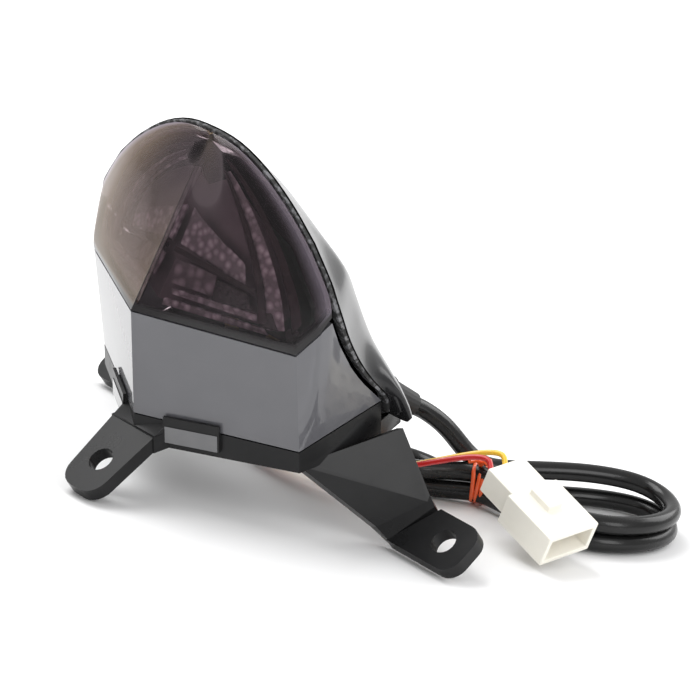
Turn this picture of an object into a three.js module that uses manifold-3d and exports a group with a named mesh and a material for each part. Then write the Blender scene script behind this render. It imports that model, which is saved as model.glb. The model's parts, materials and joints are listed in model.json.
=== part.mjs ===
// Motorcycle tail light: a tinted shield lens over a clear skirt, a tapered rear housing, a moulded
// base with a nose tab and two side arms, the lit pieces inside, and a tied cord with its connector.
// Millimetres, +Z up. The light stands nose-down on its nose tab and on the front edges of its two
// side tabs. X runs across the light, and the nose points along -Y.
import * as THREE from 'three';
import { mergeVertices } from 'three/addons/utils/BufferGeometryUtils.js';
import { ConvexGeometry } from 'three/addons/geometries/ConvexGeometry.js';
import Module from 'manifold-3d';

const wasm = await Module();
wasm.setup();

// ---- driving dimensions of the head, in its own frame: foot of the nose crease at the origin ----
const CENTRE = [0, 36, 34];
const SHELL = 0.05;
const NOSE_TOP = [0, 0, 34.3];
const RIDGE_TOP = [0, 31.2, 83.6];
const CORNER_LOW = [48.6, 25.0, -2.6];
const CORNER_HIGH = [49.7, 23.1, 30.5];
const CORNER_MID = [54.4, 28.6, 37.6];
const CORNER_RIM = [56.3, 31.4, 42.6];
const RIM = [
  [56.3, 42.6], [55.6, 47.6], [53.0, 52.4], [45.6, 62.0],
  [35.4, 71.0], [23.6, 78.4], [12.0, 82.6], [0, 83.6],
];
const RIM_Y = 31.4;
const SKIRT_REAR = [
  [55.6, 32.6, 41.0], [53.2, 37.3, 31.6], [51.0, 43.6, 21.3], [49.5, 50.0, 12.7], [48.0, 57.6, 3.9],
];
const LIP = 1.0;
const BASE_FLOOR = -9.8;
const BASE_DECK = -3.6;
const BASE_BACK = 70.5;
const TAB_THICK = 4.5;
const NOSE_TILT = THREE.MathUtils.degToRad(30);
const SIDE_TILT = THREE.MathUtils.degToRad(32);
const TAB_HOLE_R = 4.1;
const SIDE_TAB_END = 10.4;
const NOSE_HOLE = [0, -12.8, -11.7];
const SIDE_HOLE = [82.5, 52.9, -28.5];
const LEFT_SHORTER = 8;
const LEAN = THREE.MathUtils.degToRad(12.56);
const LIFT = 25.51;
const SHIFT_X = -4.0;
const SHIFT_Y = -34.6;

// ---- driving dimensions of the cord, in the standing frame before the shift along X and Y ----
const CORD_R = 3.0;
const WIRE_R = 0.9;
const HANK_LEFT = [20.5, 98.5, 16.2];
const HANK_TIE = [43, 113, 8];
const HANK_RIGHT = [69.6, 135.4, 26.6];
const HANK_HEIGHT = 12.6;
const PLUG_CENTRE = [80.5, 97.0, 14.2];
const PLUG_TURN = [9, 20, 4].map((degrees) => THREE.MathUtils.degToRad(degrees));
const PLUG = { length: 21, width: 20.5, height: 11, neck: 12, neckWidth: 15, wall: 1.7, depth: 13 };

// ---- geometry helpers ----
const vec = (p) => new THREE.Vector3(p[0], p[1], p[2]);
const lerp = (a, b, t) => a.map((value, axis) => value + (b[axis] - value) * t);
const mirror = (p) => [-p[0], p[1], p[2]];
const inward = (p, share) => lerp(p, CENTRE, share);

function cleaned(geometry) {
  const bare = geometry.index ? geometry.toNonIndexed() : geometry.clone();
  bare.deleteAttribute('normal');
  bare.deleteAttribute('uv');
  const merged = mergeVertices(bare, 1e-4);
  const index = merged.index.array;
  const kept = [];
  for (let i = 0; i < index.length; i += 3) {
    const [a, b, c] = [index[i], index[i + 1], index[i + 2]];
    if (a !== b && b !== c && a !== c) {
      kept.push(a, b, c);
    }
  }
  merged.setIndex(kept);
  return merged;
}

function toSolid(geometry) {
  const merged = cleaned(geometry);
  const mesh = new wasm.Mesh({
    numProp: 3,
    vertProperties: new Float32Array(merged.attributes.position.array),
    triVerts: new Uint32Array(merged.index.array),
  });
  return new wasm.Manifold(mesh);
}

function toGeometry(solid) {
  const mesh = solid.getMesh();
  const geometry = new THREE.BufferGeometry();
  geometry.setAttribute('position', new THREE.BufferAttribute(new Float32Array(mesh.vertProperties), 3));
  geometry.setIndex(new THREE.BufferAttribute(new Uint32Array(mesh.triVerts), 1));
  return geometry;
}

function placed(geometry, position, rotation = [0, 0, 0]) {
  const turn = new THREE.Euler(rotation[0], rotation[1], rotation[2], 'ZYX');
  const matrix = new THREE.Matrix4().makeRotationFromEuler(turn).setPosition(...position);
  return geometry.clone().applyMatrix4(matrix);
}

const block = (size, position, rotation) => placed(new THREE.BoxGeometry(...size), position, rotation);
const hull = (points) => new ConvexGeometry(points.map(vec));
const join = (...parts) => parts.map(toSolid).reduce((whole, part) => whole.add(part));

function fromQuads(quads) {
  const positions = [];
  for (const [a, b, c, d] of quads) {
    positions.push(...a, ...b, ...c, ...a, ...c, ...d);
  }
  const geometry = new THREE.BufferGeometry();
  geometry.setAttribute('position', new THREE.BufferAttribute(new Float32Array(positions), 3));
  return cleaned(geometry);
}

// A closed sheet between two equal grids of points, outer[row][column] and inner[row][column].
// Columns run left to right and rows run upwards, seen from outside. Closed columns meet at the seam.
function sheet(outer, inner, closed = false) {
  const rows = outer.length - 1;
  const columns = outer[0].length - 1;
  const quads = [];
  for (let r = 0; r < rows; r += 1) {
    for (let c = 0; c < columns; c += 1) {
      quads.push([outer[r][c], outer[r][c + 1], outer[r + 1][c + 1], outer[r + 1][c]]);
      quads.push([inner[r][c], inner[r + 1][c], inner[r + 1][c + 1], inner[r][c + 1]]);
    }
    if (!closed) {
      quads.push([outer[r][0], outer[r + 1][0], inner[r + 1][0], inner[r][0]]);
      quads.push([outer[r][columns], inner[r][columns], inner[r + 1][columns], outer[r + 1][columns]]);
    }
  }
  for (let c = 0; c < columns; c += 1) {
    quads.push([outer[0][c], inner[0][c], inner[0][c + 1], outer[0][c + 1]]);
    quads.push([outer[rows][c], outer[rows][c + 1], inner[rows][c + 1], inner[rows][c]]);
  }
  return fromQuads(quads);
}

const shell = (grid, outside, inside, closed) => sheet(
  grid.map((row) => row.map((p) => inward(p, outside))),
  grid.map((row) => row.map((p) => inward(p, inside))),
  closed,
);

// A flat outline extruded along +Z, with optional round holes.
function plate(outline, z, depth, holes = []) {
  const shape = new THREE.Shape(outline.map(([x, y]) => new THREE.Vector2(x, y)));
  for (const [x, y, radius] of holes) {
    const hole = new THREE.Path();
    hole.absarc(x, y, radius, 0, 2 * Math.PI, true);
    shape.holes.push(hole);
  }
  const geometry = new THREE.ExtrudeGeometry(shape, { depth, bevelEnabled: false, curveSegments: 12 });
  return geometry.translate(0, 0, z);
}

function tube(points, radius, sides, steps) {
  const path = new THREE.CatmullRomCurve3(points.map(vec), false, 'centripetal');
  const ring = Array.from({ length: sides }, (_, i) => {
    const angle = (2 * Math.PI * i) / sides;
    return new THREE.Vector2(radius * Math.cos(angle), radius * Math.sin(angle));
  });
  return new THREE.ExtrudeGeometry(new THREE.Shape(ring), { steps, extrudePath: path, bevelEnabled: false });
}

// A turned piece along +Z from a profile of [radius, z] points that starts and ends on the axis.
function turned(profile, segments = 16) {
  const points = profile.map(([r, z]) => new THREE.Vector2(r, z));
  return new THREE.LatheGeometry(points, segments).rotateX(Math.PI / 2);
}

// ---- the tinted shield: s runs from the ridge to the rim, v from the lower edge to the top ----
const rimCurve = new THREE.CatmullRomCurve3(RIM.map(([x, z]) => new THREE.Vector3(x, RIM_Y, z)));

function lowerEdge(s) {
  if (s <= 0.8) {
    return lerp(NOSE_TOP, CORNER_HIGH, s / 0.8);
  }
  if (s <= 0.92) {
    return lerp(CORNER_HIGH, CORNER_MID, (s - 0.8) / 0.12);
  }
  return lerp(CORNER_MID, CORNER_RIM, (s - 0.92) / 0.08);
}

function shieldPoint(u, v) {
  const s = Math.abs(u);
  const rim = rimCurve.getPoint(v).toArray();
  const straight = lerp(lerp(NOSE_TOP, RIDGE_TOP, v), rim, s);
  const start = lerp(NOSE_TOP, CORNER_RIM, s);
  const dip = lowerEdge(s);
  const fade = (1 - v) ** 2.5;
  const swell = 3.4 * Math.sin(Math.PI * s ** 1.5) * Math.sin(Math.PI * v ** 0.7) ** 0.8;
  const point = straight.map((value, axis) => value + (dip[axis] - start[axis]) * fade);
  point[0] += 0.35 * swell;
  point[1] -= 0.75 * swell;
  point[2] += 0.45 * swell;
  return u < 0 ? mirror(point) : point;
}

const ACROSS = [0.15, 0.3, 0.45, 0.6, 0.7, 0.8, 0.86, 0.92, 0.96, 1];
const COLUMNS = [...ACROSS.slice().reverse().map((u) => -u), 0, ...ACROSS];
const ROWS = [0, 0.04, 0.09, 0.16, 0.25, 0.36, 0.48, 0.6, 0.72, 0.83, 0.92, 1];
const shieldGrid = (columns, rows) => rows.map((v) => columns.map((u) => shieldPoint(u, v)));
const shieldLens = shell(shieldGrid(COLUMNS, ROWS), 0, SHELL, false);

// ---- the clear skirt: front facets, then side facets that narrow to a point at the rear ----
const along = (points, t) => {
  const place = t * (points.length - 1);
  const step = Math.min(points.length - 2, Math.floor(place));
  return lerp(points[step], points[step + 1], place - step);
};
const skirtTop = [CORNER_HIGH, CORNER_MID, ...SKIRT_REAR];
const CORNER_REAR = SKIRT_REAR[SKIRT_REAR.length - 1];

function skirtColumn(u) {
  const s = Math.abs(u);
  const low = s <= 1 ? lerp([0, 0, 0], CORNER_LOW, s) : lerp(CORNER_LOW, CORNER_REAR, s - 1);
  const high = s <= 1 ? lerp(NOSE_TOP, CORNER_HIGH, s) : along(skirtTop, s - 1);
  const fade = Math.min(1, (2 - s) * 4);
  const top = [high[0], high[1] - (s > 1.2 ? 0.5 * fade : 0), high[2] - 0.6 * fade];
  return [0, 0.5, 1].map((t) => (u < 0 ? mirror(lerp(low, top, t)) : lerp(low, top, t)));
}

const skirtAcross = [0.25, 0.5, 0.75, 1, ...[1, 2, 3, 4, 5, 6].map((k) => 1 + k / 6.0)];
const skirtColumns = [...skirtAcross.slice().reverse().map((u) => -u), 0, ...skirtAcross].map(skirtColumn);
const skirtGrid = [0, 1, 2].map((row) => skirtColumns.map((column) => column[row]));
const skirtLens = shell(skirtGrid, 0, SHELL, false);

// ---- the rear housing: rings of half outlines from the front edge to the closed back ----
function fullRing(half) {
  return [...half.slice().reverse().map(mirror), ...half.slice(1)];
}

const frontHalf = [
  ...RIM.slice(1).reverse().map(([x, z]) => {
    const reach = Math.hypot(x, z - 34);
    return [x * (1 + LIP / reach), RIM_Y, z + ((z - 34) * LIP) / reach];
  }),
  [57.4, 32.8, 42.2], [54.4, 38.3, 31.6], [52.0, 44.6, 21.3], [50.4, 51.0, 12.7], [49.0, 58.4, 3.9],
  [46.0, 60.0, -2.6], [23.0, 60.0, -2.6], [0, 60.0, -2.6],
];
const middleHalf = [
  [0, 50, 66.6], [7.5, 50, 65.4], [14.6, 50, 63.0], [21.7, 50, 59.2], [28.9, 50, 54.8], [35.6, 50, 50.6],
  [40.2, 50.4, 46.2], [41.6, 51.5, 40.0], [41.8, 54.5, 31.0], [42.6, 57.5, 21.5], [47.5, 60.4, 13.2],
  [53.4, 62.4, 5.0], [54.4, 63.0, -2.6], [27.0, 66.0, -2.6], [0, 66.0, -2.6],
];
const backHalf = [
  [0, 59, 47.0], [6.5, 59, 46.4], [12.5, 59, 45.0], [18.0, 59, 43.2], [23.0, 59.2, 41.0], [27.0, 60, 38.0],
  [29.5, 61, 34.0], [31.0, 62, 29.5], [32.2, 63.6, 23.5], [33.8, 66, 16.5], [37.0, 68.5, 9.0],
  [40.6, 70, 2.6], [42.0, 70.5, -2.6], [20.0, 70.5, -2.6], [0, 70.5, -2.6],
];
const shift = (half, dy) => half.map(([x, y, z]) => [x, y + dy, z]);
const backMid = backHalf.map(([x, , z]) => [x * 0.55, 66.4 - (z - 20) * 0.12, 20 + (z - 20) * 0.55]);
const apex = backHalf.map(() => [0, 66.6, 20]);
const housingGrid = [shift(frontHalf, 2.0), middleHalf, backHalf, backMid, apex].map(fullRing);
const rearHousing = shell(housingGrid, 0, SHELL + 0.005, true);
const gasketGrid = [shift(frontHalf, 0.45), shift(frontHalf, 1.6)].map(fullRing);
const lensGasket = shell(gasketGrid, 0.006, 0.06, true);

// ---- the base: a low wall under the skirt, a deck, the nose tab and the two arms ----
const edgeRing = [[0, 0, 0], CORNER_LOW, CORNER_REAR];
const wallTop = fullRing(edgeRing).map(([x, y, z]) => [x, y, z - 0.45]);
const wallFoot = wallTop.map(([x, y]) => [x, y, BASE_FLOOR]);
const insetXY = ([x, y, z], share) => [x * (1 - share), y + (36 - y) * share, z];
const deckEnds = [[-43, BASE_BACK, 0], ...wallTop, [43, BASE_BACK, 0]];
const deckOutline = deckEnds.map((p) => insetXY(p, 0.01)).map(([x, y]) => [x, y]);

const valance = sheet(
  [wallFoot, wallTop],
  [wallFoot.map((p) => insetXY(p, 0.045)), wallTop.map((p) => insetXY(p, 0.045))],
);
const deck = plate(deckOutline, BASE_FLOOR, BASE_DECK - BASE_FLOOR);

function tabPlate(reach, halfWidth, end, corner, taper, turn, place) {
  const outline = [[-reach[0], -halfWidth * taper]];
  for (const side of [-1, 1]) {
    for (let i = 0; i <= 6; i += 1) {
      const angle = (Math.PI / 2) * (side < 0 ? -1 + i / 6 : i / 6);
      outline.push([
        end - corner + corner * Math.cos(angle),
        side * (halfWidth - corner) + corner * Math.sin(angle),
      ]);
    }
  }
  outline.push([-reach[1], halfWidth * taper]);
  return placed(plate(outline, -TAB_THICK, TAB_THICK, [[0, 0, TAB_HOLE_R]]), place, turn);
}

const noseTab = placed(
  tabPlate([20, 20], 8.8, 11.8, 6.5, 1.2, [0, 0, -Math.PI / 2], [0, 0, 0]),
  NOSE_HOLE,
  [NOSE_TILT, 0, 0],
);
const noseRoot = block([21, 8, 5.4], [0, 3.4, -7.0]);
const facetAlong = [0.889, 0.457];
function latchPart(low, high, near, far) {
  const points = [];
  for (const run of [10.5, 29]) {
    for (const out of [near, far]) {
      const x = run * facetAlong[0] + out * facetAlong[1];
      const y = run * facetAlong[1] - out * facetAlong[0];
      points.push([x, y, low], [x, y, high]);
    }
  }
  return hull(points);
}
const latch = toGeometry(join(latchPart(-7.5, -1.4, -0.6, 1.5), latchPart(-7.5, 1.2, 0.45, 1.5)));
const armNormal = [0.875, -0.232, 0.425];
const armFace = [[45.5, 27.0, -9.0], [62.5, 46.9, -32.2], [69.0, 60.4, -23.7], [55.4, 60.0, -3.4]];
const armBack = armFace.map((p) => p.map((value, axis) => value - TAB_THICK * armNormal[axis]));
const armHull = hull([...armFace, ...armBack]);
const bend = hull([
  armFace[1], armFace[2], lerp(armFace[1], armFace[0], 0.1), lerp(armFace[2], armFace[3], 0.1),
  armBack[1], armBack[2], lerp(armBack[1], armBack[0], 0.1), lerp(armBack[2], armBack[3], 0.1),
  [70.5, 59.9, -24.1], [65.0, 45.9, -32.9], [70.5, 62.3, -27.9], [65.0, 48.3, -36.7],
]);
const rightTab = tabPlate([18, 9.5], 8.5, SIDE_TAB_END, 5.5, 1, [SIDE_TILT, 0, 0], SIDE_HOLE);
const leftHole = [SIDE_HOLE[0] - LEFT_SHORTER, SIDE_HOLE[1], SIDE_HOLE[2]];
const leftReach = [18 - LEFT_SHORTER, 9.5 - LEFT_SHORTER];
const leftTab = tabPlate(leftReach, 8.5, SIDE_TAB_END, 5.5, 1, [SIDE_TILT, 0, 0], leftHole);
const flip = (geometry) => {
  const turnedOver = cleaned(geometry).applyMatrix4(new THREE.Matrix4().makeScale(-1, 1, 1));
  const index = turnedOver.index.array;
  for (let i = 0; i < index.length; i += 3) {
    [index[i + 1], index[i + 2]] = [index[i + 2], index[i + 1]];
  }
  return turnedOver;
};

const SCREWS = [[30, 32], [-30, 32], [26, 62], [-26, 62]];
let baseSolid = join(valance, deck, noseTab, noseRoot);
for (const side of [armHull, bend, latch]) {
  baseSolid = baseSolid.add(toSolid(side)).add(toSolid(flip(side)));
}
baseSolid = baseSolid.add(toSolid(rightTab)).add(toSolid(flip(leftTab)));
const tabBore = turned([[0, -9], [TAB_HOLE_R, -9], [TAB_HOLE_R, 6], [0, 6]], 24);
for (const [hole, tilt] of [[NOSE_HOLE, NOSE_TILT], [SIDE_HOLE, SIDE_TILT], [mirror(leftHole), SIDE_TILT]]) {
  baseSolid = baseSolid.subtract(toSolid(placed(tabBore, hole, [tilt, 0, 0])));
}
const holeBore = turned([[0, -0.1], [4.1, -0.1], [4.1, 2.6], [2.0, 2.6], [2.0, 7], [0, 7]]);
for (const [x, y] of SCREWS) {
  baseSolid = baseSolid.subtract(toSolid(placed(holeBore, [x, y, BASE_FLOOR])));
}
const screwProfile = [
  [0, 0.3], [1.1, 0.3], [1.3, 0], [3.7, 0.3], [3.7, 2.2], [1.6, 2.4], [1.6, 6.2], [0, 6.2],
];
const screw = turned(screwProfile);

// ---- inside the head ----
const bezelGrid = (from, to, v0, v1) => shieldGrid(
  [0, 1, 2, 3, 4].map((i) => from + ((to - from) * i) / 4),
  [0, 1, 2, 3, 4, 5, 6].map((i) => v0 + ((v1 - v0) * i) / 6),
);
const bezelColumns = [-0.9, -0.7, -0.5, -0.25, 0, 0.25, 0.5, 0.7, 0.9];
const bezelRows = [0.06, 0.2, 0.35, 0.5, 0.65, 0.78];
const innerBezel = shell(shieldGrid(bezelColumns, bezelRows), 0.3, 0.34, false);
const boardHalf = [[30, 8], [36, 20], [37, 36], [26, 52], [10, 58]];
const boardOutline = [...boardHalf, ...boardHalf.slice().reverse().map(([x, z]) => [-x, z])];
const BOARD_Y = 41;
const boardBores = [[-30, 24, 1.9], [30, 24, 1.9]];
const ledBoard = placed(plate(boardOutline, 0, 1.6, boardBores), [0, BOARD_Y, 0], [Math.PI / 2, 0, 0]);
const boardScrew = turned([[0, -4], [1.4, -4], [1.4, 2], [3, 2], [3, 3.6], [0, 4]], 12);
const LEDS = [[-20, 18], [0, 18], [20, 18], [-22, 34], [0, 34], [22, 34], [-14, 48], [0, 50], [14, 48]];
const led = block([5, 1.5, 5], [0, 0, 0]);
const plateBoard = block([46, 12, 1.6], [0, 22, -1.6]);
const plateLed = block([4, 4, 1.4], [0, 0, 0]);
const ventPlug = turned([[0, 0], [4, 0], [4, 1.5], [2.4, 2.2], [0, 2.2]]);

// ---- the cord's outlet ----
const OUTLET = [29.0, 74.2, -4.9];
const outletDirection = new THREE.Vector3(0.08, 0.8, -0.6).normalize();
const grommetTurn = new THREE.Matrix4().makeRotationFromQuaternion(
  new THREE.Quaternion().setFromUnitVectors(new THREE.Vector3(0, 0, 1), outletDirection),
);
const grommet = turned([[0, 0], [5.4, 0], [5.4, 2.0], [4.6, 3.0], [3.9, 14], [0, 14]], 20)
  .applyMatrix4(grommetTurn)
  .translate(...OUTLET);

// ---- the cord, in the standing frame ----
const stand = ([x, y, z]) => [
  x,
  y * Math.cos(LEAN) - z * Math.sin(LEAN),
  y * Math.sin(LEAN) + z * Math.cos(LEAN) + LIFT,
];
const outletTip = stand(OUTLET.map((value, axis) => value + 14.4 * outletDirection.getComponent(axis)));
const outletAhead = stand(OUTLET.map((value, axis) => value + 22 * outletDirection.getComponent(axis)));
const leadPath = [
  outletTip, outletAhead, [33.5, 101, 24.5], [38, 109, 19.2], [44.5, 117, 17.2], [52, 126, 16.6],
];
const lead = tube(leadPath, CORD_R, 12, 16);

function circlePoints([x, y, radius], from, to, count) {
  return Array.from({ length: count + 1 }, (_, i) => {
    const angle = from + ((to - from) * i) / count;
    return [x + radius * Math.cos(angle), y + radius * Math.sin(angle)];
  });
}
const headingOf = (a, b) => Math.atan2(b[1] - a[1], b[0] - a[0]);
const quarter = Math.PI / 2;
const rightHeading = headingOf(HANK_TIE, HANK_RIGHT);
const leftHeading = headingOf(HANK_LEFT, HANK_TIE);
const tieHeading = headingOf(HANK_LEFT, HANK_RIGHT);
const acrossTie = [-Math.sin(tieHeading), Math.cos(tieHeading)];
const tieEdge = (sign) => [0, 1].map((axis) => HANK_TIE[axis] + sign * HANK_TIE[2] * acrossTie[axis]);
const hankOutline = [
  tieEdge(-1),
  ...circlePoints(HANK_RIGHT, rightHeading - quarter - 0.35, rightHeading + quarter + 0.35, 22),
  tieEdge(1),
  ...circlePoints(HANK_LEFT, leftHeading + quarter - 0.1, leftHeading + 3 * quarter + 0.1, 12),
];
const hank = plate(hankOutline, 0, HANK_HEIGHT);

const TIE_HALF = HANK_TIE[2] + 1.5;
const tieTurn = [0, 0, tieHeading];
const tieTop = block([3, 2 * TIE_HALF + 1.6, 0.8], [HANK_TIE[0], HANK_TIE[1], HANK_HEIGHT + 0.7], tieTurn);
const tieSide = (sign) => block(
  [3, 0.8, HANK_HEIGHT + 0.9],
  [
    HANK_TIE[0] + sign * (TIE_HALF + 0.4) * acrossTie[0],
    HANK_TIE[1] + sign * (TIE_HALF + 0.4) * acrossTie[1],
    0.2 + (HANK_HEIGHT + 0.9) / 2,
  ],
  tieTurn,
);
const tie = toGeometry(join(tieTop, tieSide(1), tieSide(-1)));

const tailPath = [[12, 81, 3.2], [4, 78.6, 3.2], [-3, 76, 3.2]];
const tail = tube(tailPath, CORD_R, 12, 6);

// ---- the connector, mouth towards its own +X ----
const plugBody = join(
  block([PLUG.length, PLUG.width, PLUG.height], [PLUG.neck / 2, 0, 0]),
  block([PLUG.neck + 1, PLUG.neckWidth, PLUG.height - 2], [-PLUG.length / 2, 0, 0]),
  block([9, 6, 2.2], [PLUG.neck / 2 - 4, 0, PLUG.height / 2 + 1.0]),
);
const mouthEnd = (PLUG.length + PLUG.neck) / 2;
const mouthSize = [PLUG.depth * 2, PLUG.width - 2 * PLUG.wall, PLUG.height - 2 * PLUG.wall];
const plugSolid = plugBody.subtract(toSolid(block(mouthSize, [mouthEnd, 0, 0])));
const terminal = block([8, 2.6, 0.9], [0, 0, 0]);
const onPlug = (geometry) => placed(geometry, PLUG_CENTRE, PLUG_TURN);
const plugRear = (y, z) => {
  const point = new THREE.Vector3(-mouthEnd - 1.1, y, z);
  point.applyEuler(new THREE.Euler(...PLUG_TURN, 'ZYX'));
  return [PLUG_CENTRE[0] + point.x, PLUG_CENTRE[1] + point.y, PLUG_CENTRE[2] + point.z];
};
const wirePath = (side) => {
  const end = plugRear(-3 * side, 0);
  const before = end.map((value, axis) => value + [-9, -0.6, 2.4][axis]);
  return [
    [-3.8, 75.7 + 1.2 * side, 3.2],
    [-9.6 - 1.2 * side, 72.0, 3.0],
    [-7.5 - 1.3 * side, 65.6 - 1.0 * side, 3.0],
    [0, 63.6 - 1.9 * side, 3.2],
    [26, 71.5 - 2 * side, 8],
    before,
    end,
  ];
};

// ---- the assembly ----
const root = new THREE.Group();
const head = new THREE.Group();
head.rotation.x = LEAN;
head.position.set(SHIFT_X, SHIFT_Y, LIFT);
root.add(head);
const cord = new THREE.Group();
cord.position.set(SHIFT_X, SHIFT_Y, 0);
root.add(cord);

function add(group, name, geometry, color, roughness = 0.5, metalness = 0) {
  const shape = geometry.isBufferGeometry ? geometry : toGeometry(geometry);
  const mesh = new THREE.Mesh(shape, new THREE.MeshStandardMaterial({ color, roughness, metalness }));
  mesh.name = name;
  group.add(mesh);
}

add(head, 'shield_lens', shieldLens, 0x3a2a28, 0.1);
add(head, 'skirt_lens', skirtLens, 0xb8babc, 0.15);
add(head, 'lens_gasket', lensGasket, 0x161616, 0.8);
add(head, 'rear_housing', rearHousing, 0x1a1a1c, 0.2);
add(head, 'mounting_base', baseSolid, 0x111113, 0.3);
add(head, 'inner_bezel', innerBezel, 0x2a2426, 0.4);
for (const [side, sign] of [['right', 1], ['left', -1]]) {
  const ends = (a, b) => (sign > 0 ? [a, b] : [-b, -a]);
  const outerBar = shell(bezelGrid(...ends(0.66, 0.8), 0.1, 0.74), 0.14, 0.19, false);
  const innerBar = shell(bezelGrid(...ends(0.26, 0.42), 0.1, 0.74), 0.16, 0.21, false);
  add(head, `light_bar_outer_${side}`, outerBar, 0xc8c0bc, 0.2);
  add(head, `light_bar_inner_${side}`, innerBar, 0xc8c0bc, 0.2);
}
add(head, 'led_board', ledBoard, 0x1f4a33, 0.5);
LEDS.forEach(([x, z], i) => {
  add(head, `led_${i + 1}`, led.clone().translate(x, BOARD_Y - 2.8, z), 0xf4e6a8, 0.3);
});
for (const [side, x] of [['right', 30], ['left', -30]]) {
  const fixed = placed(boardScrew, [x, BOARD_Y, 24], [Math.PI / 2, 0, 0]);
  add(head, `board_screw_${side}`, fixed, 0x9a9a9a, 0.3, 0.9);
}
add(head, 'plate_light_board', plateBoard, 0x1f4a33, 0.5);
[-15, 0, 15].forEach((x, i) => {
  add(head, `plate_led_${i + 1}`, plateLed.clone().translate(x, 22, 0.3), 0xf6f6ee, 0.3);
});
SCREWS.forEach(([x, y], i) => {
  add(head, `base_screw_${i + 1}`, placed(screw, [x, y, BASE_FLOOR + 0.1]), 0x8c8c8c, 0.3, 0.9);
});
add(head, 'vent_plug', placed(ventPlug, [0, 68.4, 14], [-Math.PI / 2 + 0.2, 0, 0]), 0x202020, 0.8);
add(head, 'cord_grommet', grommet, 0x141414, 0.7);
add(cord, 'cord_lead', lead, 0x0c0c0c, 0.3);
add(cord, 'cord_hank', hank, 0x0c0c0c, 0.3);
add(cord, 'twist_tie', tie, 0xd8401c, 0.4);
add(cord, 'cord_tail', tail, 0x0c0c0c, 0.3);
add(cord, 'wire_red', tube(wirePath(1), WIRE_R, 8, 30), 0xb01818, 0.4);
add(cord, 'wire_yellow', tube(wirePath(-1), WIRE_R, 8, 30), 0xd8b020, 0.4);
add(cord, 'connector_housing', onPlug(toGeometry(plugSolid)), 0xeee9da, 0.5);
for (const [side, y] of [['right', 5.4], ['left', -5.4]]) {
  const pin = terminal.clone().translate(mouthEnd - PLUG.depth + 4.4, y, 0);
  add(cord, `terminal_${side}`, onPlug(pin), 0xa8743c, 0.3, 0.9);
}

export default root;
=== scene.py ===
import json
import math

import bmesh
import bpy
from mathutils import Matrix, Vector


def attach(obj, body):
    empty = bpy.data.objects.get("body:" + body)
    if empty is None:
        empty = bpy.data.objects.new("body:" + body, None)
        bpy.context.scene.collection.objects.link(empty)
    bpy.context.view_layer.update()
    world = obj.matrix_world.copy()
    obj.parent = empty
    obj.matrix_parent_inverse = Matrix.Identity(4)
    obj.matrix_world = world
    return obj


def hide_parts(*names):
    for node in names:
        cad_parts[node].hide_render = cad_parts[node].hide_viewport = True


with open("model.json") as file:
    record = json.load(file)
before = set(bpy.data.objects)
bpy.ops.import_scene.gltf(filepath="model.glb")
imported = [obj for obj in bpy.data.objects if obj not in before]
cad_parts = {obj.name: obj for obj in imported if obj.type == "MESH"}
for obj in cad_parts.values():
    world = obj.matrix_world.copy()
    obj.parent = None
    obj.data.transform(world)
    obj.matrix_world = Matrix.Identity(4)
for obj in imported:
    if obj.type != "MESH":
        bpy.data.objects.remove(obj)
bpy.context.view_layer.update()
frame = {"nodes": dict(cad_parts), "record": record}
NODES = frame["nodes"]
SCENE = bpy.context.scene

# ---- the head's own frame, in millimetres: foot of the nose crease at the origin ----
LEAN = math.radians(12.56)
LIFT = 25.51
SHIFT_X = -4.0
SHIFT_Y = -34.6
CENTRE = Vector((0, 36, 34))
NOSE_TOP = Vector((0, 0, 34.3))
RIDGE_TOP = Vector((0, 31.2, 83.6))
CORNER_LOW = Vector((48.6, 25.0, -2.6))
CORNER_HIGH = Vector((49.7, 23.1, 30.5))
CORNER_MID = Vector((54.4, 28.6, 37.6))
CORNER_RIM = Vector((56.3, 31.4, 42.6))
RIM = [(56.3, 42.6), (55.6, 47.6), (53.0, 52.4), (45.6, 62.0),
       (35.4, 71.0), (23.6, 78.4), (12.0, 82.6), (0, 83.6)]
RIM_Y = 31.4
SKIRT_REAR = [Vector(p) for p in (
    (55.6, 32.6, 41.0), (53.2, 37.3, 31.6), (51.0, 43.6, 21.3), (49.5, 50.0, 12.7), (48.0, 57.6, 3.9))]


def turn(p):
    x, y, z = p
    return Vector((x, y * math.cos(LEAN) - z * math.sin(LEAN), y * math.sin(LEAN) + z * math.cos(LEAN)))


def stand(p):
    """A point of the head's frame in the row frame, in metres."""
    return (turn(p) + Vector((SHIFT_X, SHIFT_Y, LIFT))) / 1000


def laid(p):
    """A point of the cord's frame in the row frame, in metres."""
    return Vector((p[0] + SHIFT_X, p[1] + SHIFT_Y, p[2])) / 1000


# ---- camera: long lens, on the light's right front, above ----
CAM_AZ = math.radians(50)
CAM_EL = math.radians(26)
CAM_AT = Vector((827.655, -608.93, 521.1))
right = turn((math.cos(CAM_AZ), math.sin(CAM_AZ), 0))
back = turn((math.sin(CAM_AZ) * math.cos(CAM_EL), -math.cos(CAM_AZ) * math.cos(CAM_EL), math.sin(CAM_EL)))
up = back.cross(right)
cam_data = bpy.data.cameras.new("camera")
cam_data.sensor_width = 36
cam_data.lens = 195.2
cam_data.clip_end = 20
camera = bpy.data.objects.new("camera", cam_data)
SCENE.collection.objects.link(camera)
camera.matrix_world = Matrix.Translation(stand(CAM_AT)) @ Matrix((
    (right.x, up.x, back.x, 0), (right.y, up.y, back.y, 0), (right.z, up.z, back.z, 0), (0, 0, 0, 1)))
SCENE.camera = camera


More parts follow.
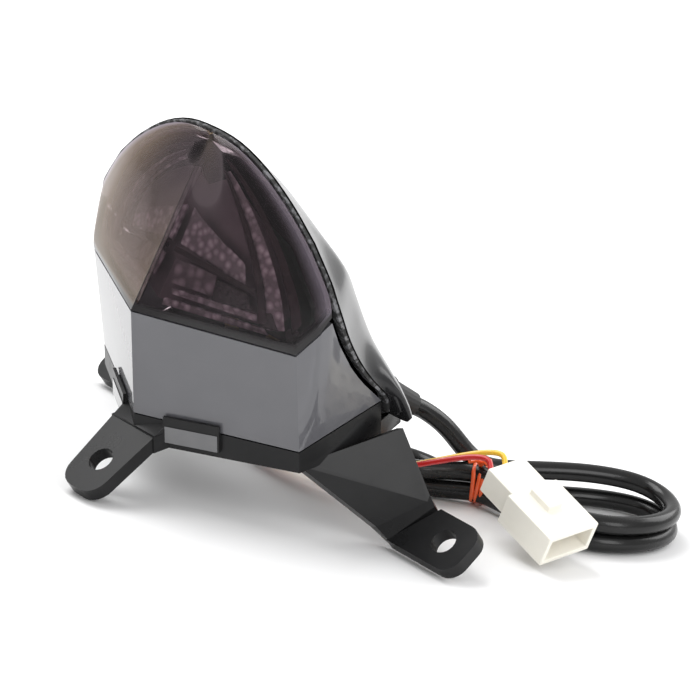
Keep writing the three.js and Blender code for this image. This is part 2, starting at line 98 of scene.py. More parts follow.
# ---- node material helpers ----
class Graph:
    """A material's node tree with short calls to add and wire nodes."""

    def __init__(self, name):
        self.material = bpy.data.materials.new(name)
        self.material.use_nodes = True
        self.tree = self.material.node_tree
        self.tree.nodes.clear()
        self.output = self.add("ShaderNodeOutputMaterial")
        self.place = self.add("ShaderNodeTexCoord").outputs["Object"]

    def add(self, kind, **values):
        node = self.tree.nodes.new(kind)
        for key, value in values.items():
            setattr(node, key, value)
        return node

    def wire(self, source, target):
        self.tree.links.new(source, target)

    def noise(self, scale, detail=4, rough=0.55):
        node = self.add("ShaderNodeTexNoise")
        node.inputs["Scale"].default_value = scale
        node.inputs["Detail"].default_value = detail
        node.inputs["Roughness"].default_value = rough
        self.wire(self.place, node.inputs["Vector"])
        return node.outputs["Fac"]

    def span(self, source, low, high, from_low=0.3, from_high=0.7):
        node = self.add("ShaderNodeMapRange")
        node.inputs["From Min"].default_value = from_low
        node.inputs["From Max"].default_value = from_high
        node.inputs["To Min"].default_value = low
        node.inputs["To Max"].default_value = high
        self.wire(source, node.inputs["Value"])
        return node.outputs["Result"]

    def blend(self, factor, a, b):
        node = self.add("ShaderNodeMix", data_type="RGBA")
        if isinstance(factor, float):
            node.inputs["Factor"].default_value = factor
        else:
            self.wire(factor, node.inputs["Factor"])
        for socket, value in ((node.inputs[6], a), (node.inputs[7], b)):
            if hasattr(value, "links"):
                self.wire(value, socket)
            else:
                socket.default_value = (*value[:3], 1)
        return node.outputs[2]

    def bump(self, height, strength, distance, after=None):
        node = self.add("ShaderNodeBump")
        node.inputs["Strength"].default_value = strength
        node.inputs["Distance"].default_value = distance
        self.wire(height, node.inputs["Height"])
        if after is not None:
            self.wire(after, node.inputs["Normal"])
        return node.outputs["Normal"]


def plastic(name, color, rough=0.3, fleck=0.12, grain=900.0, bump=0.12,
            metal=0.0, coat=0.0, wear=0.06, ior=1.5):
    """An opaque moulded material with cloudy colour, uneven gloss, fine grain and faint scuffs."""
    g = Graph(name)
    shader = g.add("ShaderNodeBsdfPrincipled")
    cloud = g.noise(38.0, 5)
    scuff = g.noise(210.0, 8, 0.7)
    low = tuple(c * (1 - fleck) for c in color)
    high = tuple(min(1, c * (1 + fleck) + 0.004) for c in color)
    g.wire(g.blend(g.span(cloud, 0.0, 1.0), low, high), shader.inputs["Base Color"])
    both = g.add("ShaderNodeMath", operation="ADD")
    g.wire(g.span(cloud, max(0.02, rough - wear), rough + wear), both.inputs[0])
    g.wire(g.span(scuff, 0.0, wear * 1.4, 0.58, 0.75), both.inputs[1])
    g.wire(both.outputs[0], shader.inputs["Roughness"])
    first = g.bump(g.noise(grain, 3), bump, 0.0002)
    g.wire(g.bump(scuff, bump * 0.5, 0.0002, first), shader.inputs["Normal"])
    shader.inputs["Metallic"].default_value = metal
    shader.inputs["Coat Weight"].default_value = coat
    shader.inputs["Coat Roughness"].default_value = 0.05
    shader.inputs["IOR"].default_value = ior
    g.wire(shader.outputs[0], g.output.inputs["Surface"])
    return g.material


def clear(name, tint, body, solid, rough=0.03, shine=1.0, ripple=0.05, waves=None):
    """A see-through moulded plastic: a tinted pass-through mixed with a solid body, under a clear gloss."""
    g = Graph(name)
    through = g.add("ShaderNodeBsdfTransparent")
    cloud = g.noise(30.0, 4)
    low = tuple(c * 0.9 for c in tint)
    g.wire(g.blend(g.span(cloud, 0.0, 1.0), low, tint), through.inputs["Color"])
    inner = g.add("ShaderNodeBsdfPrincipled")
    g.wire(g.blend(g.span(cloud, 0.0, 1.0), tuple(c * 0.85 for c in body), body), inner.inputs["Base Color"])
    inner.inputs["Roughness"].default_value = 0.35
    gloss = g.add("ShaderNodeBsdfGlossy")
    normal = g.bump(g.noise(60.0, 2), ripple, 0.0004)
    if waves is not None:
        wave = g.add("ShaderNodeTexWave", bands_direction="X")
        wave.inputs["Scale"].default_value = waves
        g.wire(g.place, wave.inputs["Vector"])
        normal = g.bump(wave.outputs["Fac"], 0.006, 0.0004, normal)
        g.wire(normal, inner.inputs["Normal"])
    smudge = g.noise(120.0, 6, 0.65)
    g.wire(g.span(smudge, rough, rough + 0.07, 0.5, 0.8), gloss.inputs["Roughness"])
    g.wire(normal, gloss.inputs["Normal"])
    core = g.add("ShaderNodeMixShader")
    layer = g.add("ShaderNodeLayerWeight")
    layer.inputs["Blend"].default_value = 0.35
    g.wire(g.span(layer.outputs["Facing"], solid, min(1.0, solid + 0.25), 0.0, 1.0), core.inputs[0])
    g.wire(through.outputs[0], core.inputs[1])
    g.wire(inner.outputs[0], core.inputs[2])
    fresnel = g.add("ShaderNodeFresnel")
    fresnel.inputs["IOR"].default_value = 1.5
    g.wire(normal, fresnel.inputs["Normal"])
    scale = g.add("ShaderNodeMath", operation="MULTIPLY")
    g.wire(fresnel.outputs[0], scale.inputs[0])
    scale.inputs[1].default_value = shine
    skin = g.add("ShaderNodeMixShader")
    g.wire(scale.outputs[0], skin.inputs[0])
    g.wire(core.outputs[0], skin.inputs[1])
    g.wire(gloss.outputs[0], skin.inputs[2])
    g.wire(skin.outputs[0], g.output.inputs["Surface"])
    return g.material


def smoke(name):
    """The shield: smoke-tinted and clear face on, and denser at a slant, where its brown tone is painted warm
    light.

    It is dark along its lower edge and its ridge, and pale along its rim: partly a painted highlight, partly
    a pale haze in the plastic.
    """
    g = Graph(name)

    def mark(key):
        node = g.add("ShaderNodeAttribute", attribute_name=key)
        return node.outputs["Fac"]

    cloud = g.noise(26.0, 5)
    through = g.add("ShaderNodeBsdfTransparent")
    tint = g.blend(g.span(cloud, 0.0, 1.0), (0.70, 0.63, 0.66), (0.78, 0.71, 0.73))
    dark = g.blend(g.span(mark("low"), 0.0, 1.0, 0.1, 0.55), tint, (0.03, 0.02, 0.025))
    g.wire(dark, through.inputs["Color"])
    inner = g.add("ShaderNodeBsdfPrincipled")
    facing = g.add("ShaderNodeLayerWeight")
    facing.inputs["Blend"].default_value = 0.5
    grazing = g.span(facing.outputs["Facing"], 0.0, 1.0, 0.25, 0.75)
    # painted light: the body goes warm brown at a slant, standing in for the warm light on the lit facet
    painted_warm_light = g.blend(grazing, (0.060, 0.052, 0.058), (0.19, 0.118, 0.052))
    # painted highlight along the rim, partly a pale lavender haze in the plastic
    body = g.blend(g.span(mark("rim"), 0.0, 0.9, 0.1, 1.0), painted_warm_light, (0.34, 0.30, 0.37))
    edge = g.span(mark("low"), 0.0, 1.0, 0.1, 0.6)
    g.wire(g.blend(edge, body, (0.012, 0.010, 0.011)), inner.inputs["Base Color"])
    inner.inputs["Roughness"].default_value = 0.3
    solid = g.add("ShaderNodeMath", operation="ADD", use_clamp=True)
    g.wire(g.span(grazing, 0.06, 0.58, 0.0, 1.0), solid.inputs[0])
    more = g.add("ShaderNodeMath", operation="ADD")
    # the rim's painted highlight and haze also thicken the body there
    g.wire(g.span(mark("rim"), 0.0, 0.22, 0.0, 0.8), more.inputs[0])
    g.wire(g.span(mark("low"), 0.0, 0.6, 0.1, 0.6), more.inputs[1])
    g.wire(more.outputs[0], solid.inputs[1])
    core = g.add("ShaderNodeMixShader")
    g.wire(solid.outputs[0], core.inputs[0])
    g.wire(through.outputs[0], core.inputs[1])
    g.wire(inner.outputs[0], core.inputs[2])
    gloss = g.add("ShaderNodeBsdfGlossy")
    normal = g.bump(g.noise(45.0, 2), 0.04, 0.0004)
    g.wire(normal, gloss.inputs["Normal"])
    g.wire(g.span(g.noise(140.0, 7, 0.7), 0.02, 0.1, 0.5, 0.8), gloss.inputs["Roughness"])
    fresnel = g.add("ShaderNodeFresnel")
    fresnel.inputs["IOR"].default_value = 1.45
    g.wire(normal, fresnel.inputs["Normal"])
    skin = g.add("ShaderNodeMixShader")
    g.wire(g.span(fresnel.outputs[0], 0.0, 0.28, 0.0, 1.0), skin.inputs[0])
    g.wire(core.outputs[0], skin.inputs[1])
    g.wire(gloss.outputs[0], skin.inputs[2])
    g.wire(skin.outputs[0], g.output.inputs["Surface"])
    return g.material


def flecked(name):
    """The black seal with the pale squeezed-out beads of the joint along it."""
    g = Graph(name)
    shader = g.add("ShaderNodeBsdfPrincipled")
    beads = g.noise(420.0, 3, 0.6)
    pale = g.span(beads, 0.0, 1.0, 0.50, 0.62)
    g.wire(g.blend(pale, (0.015, 0.015, 0.015), (0.16, 0.16, 0.17)), shader.inputs["Base Color"])
    g.wire(g.span(beads, 0.7, 0.25, 0.45, 0.65), shader.inputs["Roughness"])
    g.wire(g.bump(beads, 0.6, 0.0004), shader.inputs["Normal"])
    g.wire(shader.outputs[0], g.output.inputs["Surface"])
    return g.material


def bubbled(name, color, cell=420.0, rough=0.12):
    """Clear light-bar plastic with a bubble texture that sparkles."""
    g = Graph(name)
    shader = g.add("ShaderNodeBsdfPrincipled")
    cells = g.add("ShaderNodeTexVoronoi")
    cells.inputs["Scale"].default_value = cell
    g.wire(g.place, cells.inputs["Vector"])
    dark = tuple(c * 0.35 for c in color)
    gap = g.span(cells.outputs["Distance"], 0.0, 1.0, 0.1, 0.6)
    g.wire(g.blend(gap, color, dark), shader.inputs["Base Color"])
    g.wire(g.bump(cells.outputs["Distance"], 0.9, 0.0008), shader.inputs["Normal"])
    g.wire(g.span(g.noise(90.0), rough, rough + 0.15), shader.inputs["Roughness"])
    shader.inputs["Coat Weight"].default_value = 0.6
    g.wire(shader.outputs[0], g.output.inputs["Surface"])
    return g.material


MATERIALS = {
    "gasket": flecked("gasket"),
    "smoke_lens": smoke("smoke_lens"),
    "clear_lens": clear("clear_lens", (0.50, 0.50, 0.52), (0.15, 0.15, 0.165), 0.66, 0.03, 1.2, waves=90.0),
    "housing_black": plastic("housing_black", (0.013, 0.013, 0.014), 0.2, 0.2, 700.0, 0.04,
                             coat=0.12, wear=0.04, ior=1.33),
    "base_black": plastic("base_black", (0.010, 0.010, 0.0105), 0.3, 0.25, 1300.0, 0.05, ior=1.3),
    "bezel_dark": plastic("bezel_dark", (0.16, 0.145, 0.155), 0.35, 0.35, 420.0, 0.35, metal=0.3),
    "optic_clear": bubbled("optic_clear", (0.80, 0.79, 0.82)),
    "board": plastic("board", (0.03, 0.10, 0.06), 0.4, 0.4, 500.0, 0.4),
    "led": plastic("led", (0.85, 0.75, 0.35), 0.2, 0.15, 600.0, 0.1, coat=0.8),
    "screw_steel": plastic("screw_steel", (0.5, 0.5, 0.5), 0.3, 0.2, 1600.0, 0.3, metal=1.0),
    "soft_rubber": plastic("soft_rubber", (0.01, 0.01, 0.01), 0.55, 0.3, 1200.0, 0.3),
    "cord_sleeve": plastic("cord_sleeve", (0.006, 0.006, 0.006), 0.24, 0.3, 500.0, 0.2,
                           coat=0.1, wear=0.06, ior=1.35),
    "tie_orange": plastic("tie_orange", (0.75, 0.10, 0.02), 0.3, 0.2, 900.0, 0.25, coat=0.3),
    "wire_red": plastic("wire_red", (0.50, 0.012, 0.012), 0.3, 0.15, 1500.0, 0.15, coat=0.3),
    "wire_yellow": plastic("wire_yellow", (0.80, 0.50, 0.03), 0.3, 0.15, 1500.0, 0.15, coat=0.3),
    "connector_ivory": plastic("connector_ivory", (0.88, 0.85, 0.76), 0.42, 0.06, 1100.0, 0.12, coat=0.1),
    "terminal_brass": plastic("terminal_brass", (0.42, 0.24, 0.10), 0.35, 0.4, 1400.0, 0.3, metal=0.9),
}
MATERIALS["trim_black"] = plastic("trim_black", (0.025, 0.015, 0.018), 0.3, 0.3, 900.0, 0.2)
MATERIALS["block_dark"] = bubbled("block_dark", (0.035, 0.04, 0.038), 520.0, 0.15)
MATERIALS["dotted"] = bubbled("dotted", (0.50, 0.48, 0.50), 300.0, 0.2)
MATERIALS["latch_grey"] = plastic("latch_grey", (0.11, 0.11, 0.115), 0.14, 0.15, 800.0, 0.1, coat=0.6)
for entry in frame["record"]["subparts"]:
    node = NODES[entry["node"]]
    node.data.materials.clear()
    node.data.materials.append(MATERIALS[entry["material_slot"]])


# ---- piece helpers ----
def piece(name, mesh, slot, replaced=(), sharp=34.0):
    obj = bpy.data.objects.new(name, mesh)
    SCENE.collection.objects.link(obj)
    mesh.materials.clear()
    mesh.materials.append(MATERIALS[slot])
    for polygon in mesh.polygons:
        polygon.use_smooth = True
    mesh.set_sharp_from_angle(angle=math.radians(sharp))
    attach(obj, "root")
    if replaced:
        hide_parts(*replaced)
    return obj


def softened(obj, width, segments=2, angle=30.0):
    bevel = obj.modifiers.new("soft_edges", "BEVEL")
    bevel.width = width
    bevel.segments = segments
    bevel.limit_method = "ANGLE"
    bevel.angle_limit = math.radians(angle)
    bevel.harden_normals = True
    return obj


def from_node(name, node, slot, width, angle=30.0):
    """A piece with a CAD node's shape, its flat faces joined and its edges rounded."""
    shape = bmesh.new()
    shape.from_mesh(NODES[node].data)
    shape.transform(NODES[node].matrix_world)
    bmesh.ops.remove_doubles(shape, verts=shape.verts, dist=1e-6)
    bmesh.ops.dissolve_limit(shape, angle_limit=math.radians(1.5), verts=shape.verts, edges=shape.edges)
    mesh = bpy.data.meshes.new(name)
    shape.to_mesh(mesh)
    shape.free()
    return softened(piece(name, mesh, slot, (node,)), width, 2, angle)


def sheet_mesh(name, outer, inner, closed=False, marks=None):
    """A closed shell between two equal grids of points in metres. marks holds named values for each point."""
    shape = bmesh.new()
    rows, columns = len(outer), len(outer[0])
    layers = {key: shape.verts.layers.float.new(key) for key in (marks or {})}
    grids = [[[shape.verts.new(p) for p in row] for row in grid] for grid in (outer, inner)]
    for key, layer in layers.items():
        for grid in grids:
            for r in range(rows):
                for c in range(columns):
                    grid[r][c][layer] = marks[key][r][c]

    def face(*corners):
        spots = []
        for corner in corners:
            if all((corner.co - other.co).length > 1e-7 for other in spots):
                spots.append(corner)
        if len(spots) > 2:
            shape.faces.new(spots)

    a, b = grids
    for r in range(rows - 1):
        for c in range(columns - 1):
            face(a[r][c], a[r][c + 1], a[r + 1][c + 1], a[r + 1][c])
            face(b[r][c], b[r + 1][c], b[r + 1][c + 1], b[r][c + 1])
        if not closed:
            face(a[r][0], a[r + 1][0], b[r + 1][0], b[r][0])
            face(a[r][-1], b[r][-1], b[r + 1][-1], a[r + 1][-1])
    for c in range(columns - 1):
        face(a[0][c], b[0][c], b[0][c + 1], a[0][c + 1])
        face(a[-1][c], a[-1][c + 1], b[-1][c + 1], b[-1][c])
    bmesh.ops.remove_doubles(shape, verts=shape.verts, dist=1e-6)
    bmesh.ops.recalc_face_normals(shape, faces=shape.faces)
    mesh = bpy.data.meshes.new(name)
    shape.to_mesh(mesh)
    shape.free()
    return mesh


def inward(p, share):
    return p.lerp(CENTRE, share)


def shell(name, grid, outside, inside, closed=False, marks=None):
    outer = [[stand(inward(p, outside)) for p in row] for row in grid]
    inner = [[stand(inward(p, inside)) for p in row] for row in grid]
    return sheet_mesh(name, outer, inner, closed, marks)


def spline(points, count):
    """Points along a Catmull-Rom curve through the given ones."""
    held = [points[0] * 2 - points[1], *points, points[-1] * 2 - points[-2]]
    out = []
    for i in range(count + 1):
        t = i / count * (len(points) - 1)
        k = min(len(points) - 2, int(t))
        f = t - k
        p0, p1, p2, p3 = held[k:k + 4]
        out.append(0.5 * (2 * p1 + (p2 - p0) * f + (2 * p0 - 5 * p1 + 4 * p2 - p3) * f * f
                          + (3 * p1 - p0 - 3 * p2 + p3) * f ** 3))
    return out


def mirror(p):
    return Vector((-p.x, p.y, p.z))


def along(points, t):
    place = max(0.0, min(1.0, t)) * (len(points) - 1)
    step = min(len(points) - 2, int(place))
    return points[step].lerp(points[step + 1], place - step)


# ---- the tinted shield ----
RIM_LINE = spline([Vector((x, RIM_Y, z)) for x, z in RIM], 140)


def lower_edge(s):
    if s <= 0.8:
        return NOSE_TOP.lerp(CORNER_HIGH, s / 0.8)
    if s <= 0.92:
        return CORNER_HIGH.lerp(CORNER_MID, (s - 0.8) / 0.12)
    return CORNER_MID.lerp(CORNER_RIM, (s - 0.92) / 0.08)


def shield_point(u, v):
    s = abs(u)
    point = NOSE_TOP.lerp(RIDGE_TOP, v).lerp(along(RIM_LINE, v), s)
    point = point + (lower_edge(s) - NOSE_TOP.lerp(CORNER_RIM, s)) * (1 - v) ** 2.5
    swell = 3.4 * math.sin(math.pi * s ** 1.5) * max(0.0, math.sin(math.pi * v ** 0.7)) ** 0.8
    point = point + Vector((0.35, -0.75, 0.45)) * swell
    return mirror(point) if u < 0 else point


def steps(a, b, count):
    return [a + (b - a) * i / count for i in range(count + 1)]


def low_mark(u, v):
    """1 on the lower edge, falling to 0 above its dark band, and half strength on the ridge."""
    band = 0.05 + 0.03 * max(0.0, abs(u) - 0.7) / 0.3
    return max(0.0, 1 - v / band, 0.5 * (1 - abs(u) / 0.012))


def rim_highlight_haze_mark(u, v):
    """1 on the rim, falling to 0 a little way in and towards the top of the ridge. It places the painted
    highlight and pale haze along the rim.
    """
    return max(0.0, (abs(u) - 0.90) / 0.10) * min(1.0, (1 - v) * 5)


half = [0.007, 0.014] + steps(0, 0.8, 22)[1:] + steps(0.8, 0.92, 6)[1:] + steps(0.92, 1, 5)[1:]
shield_u = [-s for s in reversed(half)] + [0.0] + half
shield_v = [0, 0.012, 0.03] + steps(0.05, 1, 44)
shield_marks = {
    "low": [[low_mark(u, v) for u in shield_u] for v in shield_v],
    "rim": [[rim_highlight_haze_mark(u, v) for u in shield_u] for v in shield_v],
}
shield_grid = [[shield_point(u, v) for u in shield_u] for v in shield_v]
piece("shield", shell("shield", shield_grid, 0, 0.05, marks=shield_marks), "smoke_lens", ("shield_lens",), 24)


# ---- optics and trims behind the shield, each a quadrilateral of the shield's own surface set back ----
def facet_patch(name, corners, near, far, slot, replaced=(), side=1):
    """corners are four (across, up) places on a facet, anticlockwise from the lower ridge end."""
    a, b, c, d = corners
    grid = []
    for j in steps(0, 1, 10):
        row = []
        for i in steps(0, 1, 14):
            low = (a[0] + (b[0] - a[0]) * i, a[1] + (b[1] - a[1]) * i)
            high = (d[0] + (c[0] - d[0]) * i, d[1] + (c[1] - d[1]) * i)
            across = low[0] + (high[0] - low[0]) * j
            row.append(shield_point(side * across, low[1] + (high[1] - low[1]) * j))
        grid.append(row if side > 0 else row[::-1])
    return softened(piece(name, shell(name, grid, near, far), slot, replaced), 0.00035)


REFLECTOR_U = [-0.97] + steps(-0.9, 0.9, 24) + [0.97]
reflector_grid = [[shield_point(u, v) for u in REFLECTOR_U] for v in steps(0.03, 0.90, 24)]
piece("reflector", shell("reflector", reflector_grid, 0.27, 0.3), "bezel_dark", ("inner_bezel",), 30)

# name, corners, near and far shares towards the centre, material, node it replaces on each side
PATCHES = (
    ("bar_outer", ((0.70, 0.05), (0.80, 0.07), (0.80, 0.82), (0.70, 0.82)), 0.13, 0.17,
     "optic_clear", "light_bar_outer"),
    ("optic_upper", ((0.05, 0.42), (0.58, 0.27), (0.60, 0.38), (0.06, 0.66)), 0.16, 0.20,
     "optic_clear", "light_bar_inner"),
    ("trim_outer", ((0.83, 0.04), (0.88, 0.06), (0.88, 0.88), (0.83, 0.88)), 0.10, 0.115, "trim_black", None),
    ("trim_inner", ((0.645, 0.08), (0.69, 0.09), (0.69, 0.82), (0.63, 0.82)), 0.11, 0.125,
     "trim_black", None),
    ("trim_upper", ((0.04, 0.365), (0.63, 0.235), (0.64, 0.265), (0.05, 0.395)), 0.12, 0.16,
     "trim_black", None),
    ("dot_reflector", ((0.08, 0.17), (0.36, 0.15), (0.38, 0.29), (0.06, 0.33)), 0.17, 0.19, "dotted", None),
    ("lamp_block", ((0.36, 0.13), (0.62, 0.13), (0.58, 0.23), (0.38, 0.27)), 0.13, 0.2, "block_dark", None),
    ("bar_lower", ((0.13, 0.115), (0.64, 0.085), (0.64, 0.125), (0.12, 0.15)), 0.11, 0.15,
     "optic_clear", None),
    ("bar_foot", ((0.10, 0.045), (0.70, 0.03), (0.68, 0.06), (0.10, 0.085)), 0.10, 0.14, "optic_clear", None),
    ("corner_block", ((0.66, 0.06), (0.76, 0.06), (0.73, 0.15), (0.65, 0.14)), 0.12, 0.17,
     "block_dark", None),
)
for side_name, side in (("right", 1), ("left", -1)):
    for name, corners, near, far, slot, node in PATCHES:
        replaced = (f"{node}_{side_name}",) if node else ()
        facet_patch(f"{name}_{side_name}", corners, near, far, slot, replaced, side)

# ---- the clear skirt ----
CORNER_REAR = SKIRT_REAR[-1]
SKIRT_TOP = [CORNER_HIGH, CORNER_MID, *SKIRT_REAR]


def skirt_point(u, t):
    s = abs(u)
    if s <= 1:
        low, high = Vector((0, 0, 0)).lerp(CORNER_LOW, s), NOSE_TOP.lerp(CORNER_HIGH, s)
    else:
        low, high = CORNER_LOW.lerp(CORNER_REAR, s - 1), along(SKIRT_TOP, s - 1)
    fade = min(1.0, (2 - s) * 4)
    top = high + Vector((0, -0.5 if s > 1.2 else 0, -0.6)) * fade
    point = low.lerp(top, t)
    return mirror(point) if u < 0 else point


skirt_half = steps(0, 1, 16)[1:] + steps(1, 2, 24)[1:]
skirt_u = [-s for s in reversed(skirt_half)] + [0.0] + skirt_half
skirt_grid = [[skirt_point(u, t) for u in skirt_u] for t in steps(0, 1, 10)]
piece("skirt", shell("skirt", skirt_grid, 0, 0.05), "clear_lens", ("skirt_lens",), 20)

# ---- the rear housing ----
LIP = 1.0


def lip_point(x, z):
    reach = math.hypot(x, z - 34)
    return Vector((x * (1 + LIP / reach), RIM_Y, z + (z - 34) * LIP / reach))


FRONT_HALF = [lip_point(x, z) for x, z in reversed(RIM[1:])] + [Vector(p) for p in (
    (57.4, 32.8, 42.2), (54.4, 38.3, 31.6), (52.0, 44.6, 21.3), (50.4, 51.0, 12.7), (49.0, 58.4, 3.9),
    (46.0, 60.0, -2.6), (23.0, 60.0, -2.6), (0, 60.0, -2.6))]
MIDDLE_HALF = [Vector(p) for p in (
    (0, 50, 66.6), (7.5, 50, 65.4), (14.6, 50, 63.0), (21.7, 50, 59.2), (28.9, 50, 54.8), (35.6, 50, 50.6),
    (40.2, 50.4, 46.2), (41.6, 51.5, 40.0), (41.8, 54.5, 31.0), (42.6, 57.5, 21.5), (47.5, 60.4, 13.2),
    (53.4, 62.4, 5.0), (54.4, 63.0, -2.6), (27.0, 66.0, -2.6), (0, 66.0, -2.6))]
BACK_HALF = [Vector(p) for p in (
    (0, 59, 47.0), (6.5, 59, 46.4), (12.5, 59, 45.0), (18.0, 59, 43.2), (23.0, 59.2, 41.0), (27.0, 60, 38.0),
    (29.5, 61, 34.0), (31.0, 62, 29.5), (32.2, 63.6, 23.5), (33.8, 66, 16.5), (37.0, 68.5, 9.0),
    (40.6, 70, 2.6), (42.0, 70.5, -2.6), (20.0, 70.5, -2.6), (0, 70.5, -2.6))]


def full_ring(half_points):
    return [mirror(p) for p in reversed(half_points)] + half_points[1:]


def smooth_ring(ring):
    return spline(ring[:11], 30) + spline(ring[10:19], 24)[1:] + spline(ring[18:], 30)[1:]


front = [p + Vector((0, 2.0, 0)) for p in FRONT_HALF]
back_mid = [Vector((p.x * 0.55, 66.4 - (p.z - 20) * 0.12, 20 + (p.z - 20) * 0.55)) for p in BACK_HALF]
coarse = [full_ring(ring) for ring in (front, MIDDLE_HALF, BACK_HALF, back_mid)]
lines = [spline([row[c] for row in coarse], 24) for c in range(len(coarse[0]))]
rings = [[line[r] for line in lines] for r in range(25)] + [[Vector((0, 66.6, 20))] * len(lines)]
housing_grid = [smooth_ring(ring) if r < 25 else [ring[0]] * 85 for r, ring in enumerate(rings)]
piece("housing", shell("housing", housing_grid, 0, 0.05, True), "housing_black", ("rear_housing",), 40)


# ---- the seal between the lenses and the housing ----
SEAL_DEPTHS = (0.45, 0.8, 1.25, 1.6)
seal_halves = [[p + Vector((0, depth, 0)) for p in FRONT_HALF] for depth in SEAL_DEPTHS]
seal_rings = [smooth_ring(full_ring(ring)) for ring in seal_halves]
piece("seal", shell("seal", seal_rings, 0.006, 0.06, True), "gasket", ("lens_gasket",), 40)

# ---- the base ----
from_node("base", "mounting_base", "base_black", 0.0007, 22)


# ---- the glossy tongues of the two latches, on the base's front facets ----
def latch_point(run, out, z, side):
    return stand((side * (run * 0.889 + out * 0.457), run * 0.457 - out * 0.889, z))


for side_name, side in (("right", 1), ("left", -1)):
    ends = (11.0, 28.5)[::side]
    face = [[[latch_point(run, out, z, side) for run in ends] for z in (-7.3, -1.9)] for out in (1.75, 1.55)]
    tongue = f"latch_tongue_{side_name}"
    softened(piece(tongue, sheet_mesh(tongue, *face), "latch_grey"), 0.00008)

# ---- the connector ----
connector = from_node("connector", "connector_housing", "connector_ivory", 0.0004, 30)


# ---- the cord: sleeve from the outlet, through the hank, to its end ----
def tube(name, points, radius, slot):
    data = bpy.data.curves.new(name, "CURVE")
    data.dimensions = "3D"
    data.bevel_depth = radius
    data.bevel_resolution = 5
    data.resolution_u = 6
    data.use_fill_caps = True
    line = data.splines.new("POLY")
    line.points.add(len(points) - 1)
    for spot, p in zip(line.points, points):
        spot.co = (*p, 1)
    line.use_smooth = True
    obj = bpy.data.objects.new(name, data)
    SCENE.collection.objects.link(obj)
    data.materials.append(MATERIALS[slot])
    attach(obj, "root")
    return obj


OUTLET = Vector((29.0, 74.2, -4.9))
OUT = Vector((0.08, 0.8, -0.6)).normalized()
outlet_tip = stand(OUTLET + OUT * 14.4)
outlet_ahead = stand(OUTLET + OUT * 22)
ROUTE = [
    (33.5, 101, 22.5), (37.0, 109, 14.0), (41.2, 116.0, 10.6), (49, 130, 11.4), (57, 145, 11.8),
    (66, 157, 10.8), (77.2, 158.7, 9.6), (88, 151.5, 9.3), (92.9, 138, 9.3), (89.8, 123, 9.3),
    (79.9, 113.5, 9.3), (63.6, 111.5, 9.6), (45.2, 109.4, 10.6), (37.0, 102.5, 9.7),
    (32.9, 94.0, 9.3), (27.1, 87.1, 9.2), (18.2, 85.5, 8.9), (10.4, 90.0, 7.2), (7.3, 98.5, 5.4),
    (10.4, 107.0, 4.2), (17.1, 111.2, 3.5), (27.5, 112.6, 3.4), (40.4, 117.2, 4.4), (49, 130, 3.4),
    (56, 146, 3.2), (66, 157.5, 3.2), (78, 158.7, 3.2), (88.8, 150.5, 3.2), (92.6, 137, 3.2),
    (89.3, 123, 3.2), (79.9, 113, 3.2), (63.6, 111.5, 3.3), (45.2, 109.4, 4.4), (36.5, 101.5, 3.2),
    (28, 92.0, 3.2), (18, 83.8, 3.2), (7, 79.6, 3.2), (-3, 76, 3.2),
]


def eased(points, passes, held):
    """The line with its sharpest bends spread out, and its first points left straight."""
    for _ in range(passes):
        middle = [(a + b * 2 + c) / 4 for a, b, c in zip(points[held - 1:], points[held:], points[held + 1:])]
        points = points[:held] + middle + [points[-1]]
    return points


sleeve_line = eased(spline([outlet_tip, outlet_ahead] + [laid(p) for p in ROUTE], 300), 12, 5)
# ---- the twist tie: three wraps round the bundle and a twisted end ----
TIE = Vector((41.0, 111.5, 7.1))
tie_across = Vector((-0.605, 0.796, 0))
tie_along = Vector((0.796, 0.605, 0))
wraps = []
for k in range(3 * 24 + 1):
    angle = math.pi * 2 * k / 24 - math.pi / 2
    swing = math.copysign(abs(math.cos(angle)) ** 0.7, math.cos(angle))
    rise = math.copysign(abs(math.sin(angle)) ** 0.7, math.sin(angle))
    drift = -2.6 + 5.2 * k / 72 + 0.3 * math.sin(angle * 2.3)
    wraps.append(laid(TIE + tie_across * swing * 7.6 + Vector((0, 0, rise * 6.3)) + tie_along * drift))
tie = tube("tie", wraps, 0.0007, "tie_orange")
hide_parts("twist_tie")
for index, sweep in enumerate((0.6, -0.5)):
    points = [
        TIE + Vector((0, 0, 6.6)) - tie_across * 5,
        TIE + Vector((0, 0, 8.6)) - tie_across * 7.5 + tie_along * sweep * 2,
        TIE + Vector((0, 0, 9.0)) - tie_across * 11 + tie_along * sweep * 6,
    ]
    tube(f"tie_end_{index + 1}", spline([laid(p) for p in points], 12), 0.0007, "tie_orange")

sleeve = tube("sleeve", sleeve_line, 0.003, "cord_sleeve")
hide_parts("cord_lead", "cord_hank", "cord_tail")

PLUG_CENTRE = Vector((80.5, 97.0, 14.2))
plug_turn = (Matrix.Rotation(math.radians(4), 3, "Z") @ Matrix.Rotation(math.radians(20), 3, "Y")
             @ Matrix.Rotation(math.radians(9), 3, "X"))


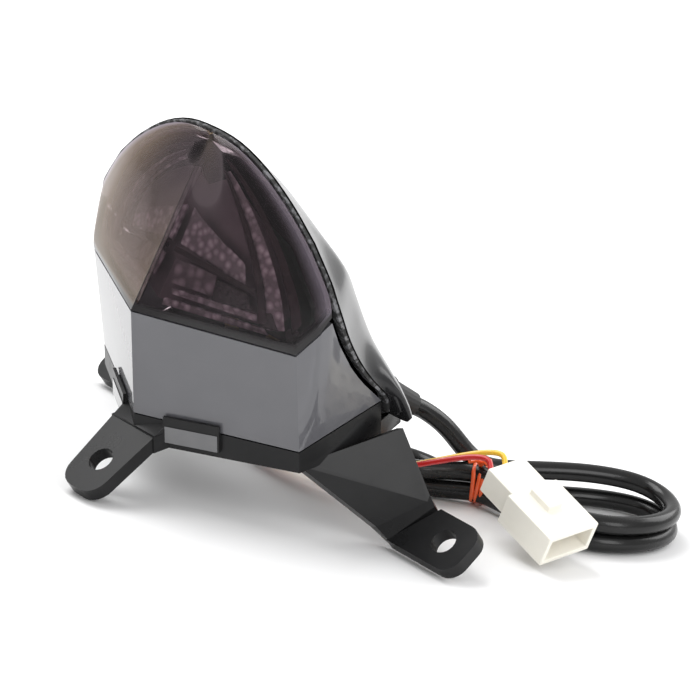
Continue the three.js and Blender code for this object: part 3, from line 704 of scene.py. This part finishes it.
def wire_line(side):
    end = PLUG_CENTRE + plug_turn @ Vector((-17.6, -3 * side, 0))
    before = end + Vector((-9, -0.6, 2.4))
    points = [
        (-3.8, 75.7 + 1.2 * side, 3.2),
        (-9.6 - 1.2 * side, 72.0, 3.0),
        (-7.5 - 1.3 * side, 65.6 - side, 3.0),
        (0, 63.6 - 1.9 * side, 3.2),
        (26, 71.5 - 2 * side, 8),
        before,
        end,
    ]
    return spline([laid(p) for p in points], 110)


red_line, yellow_line = wire_line(1), wire_line(-1)
red = tube("red_wire", red_line, 0.0009, "wire_red")
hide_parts("wire_red")
yellow = tube("yellow_wire", yellow_line, 0.0009, "wire_yellow")
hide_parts("wire_yellow")

# ---- studio: floor, world and soft lights ----
bpy.ops.mesh.primitive_plane_add(size=6, location=(0, 0, -0.0002))
floor = bpy.context.object
floor.name = "floor"
g = Graph("floor")
paper = g.add("ShaderNodeBsdfPrincipled")
g.wire(g.blend(g.noise(6.0), (0.86, 0.86, 0.865), (0.88, 0.88, 0.88)), paper.inputs["Base Color"])
paper.inputs["Roughness"].default_value = 0.6
paper.inputs["Specular IOR Level"].default_value = 0.25
g.wire(paper.outputs[0], g.output.inputs["Surface"])
floor.data.materials.append(g.material)

world = bpy.data.worlds.new("studio")
SCENE.world = world
world.use_nodes = True
world.node_tree.nodes["Background"].inputs["Color"].default_value = (1, 1, 1, 1)
world.node_tree.nodes["Background"].inputs["Strength"].default_value = 0.75


def soft_light(name, at, towards, size, power):
    data = bpy.data.lights.new(name, "AREA")
    data.shape = "RECTANGLE"
    data.size = size[0]
    data.size_y = size[1]
    data.energy = power
    obj = bpy.data.objects.new(name, data)
    SCENE.collection.objects.link(obj)
    obj.location = at
    obj.rotation_mode = "QUATERNION"
    obj.rotation_quaternion = (Vector(towards) - Vector(at)).to_track_quat("-Z", "Y")
    return obj


soft_light("key", (-0.7, -0.2, 1.2), (0, 0, 0.05), (1.0, 1.0), 16)
soft_light("rear", (0.2, 1.3, 0.9), (0, 0, 0.05), (1.2, 0.8), 10)
soft_light("side", (1.4, -0.1, 0.8), (0, 0, 0.05), (0.6, 0.9), 7)
SCENE.view_settings.view_transform = "Standard"
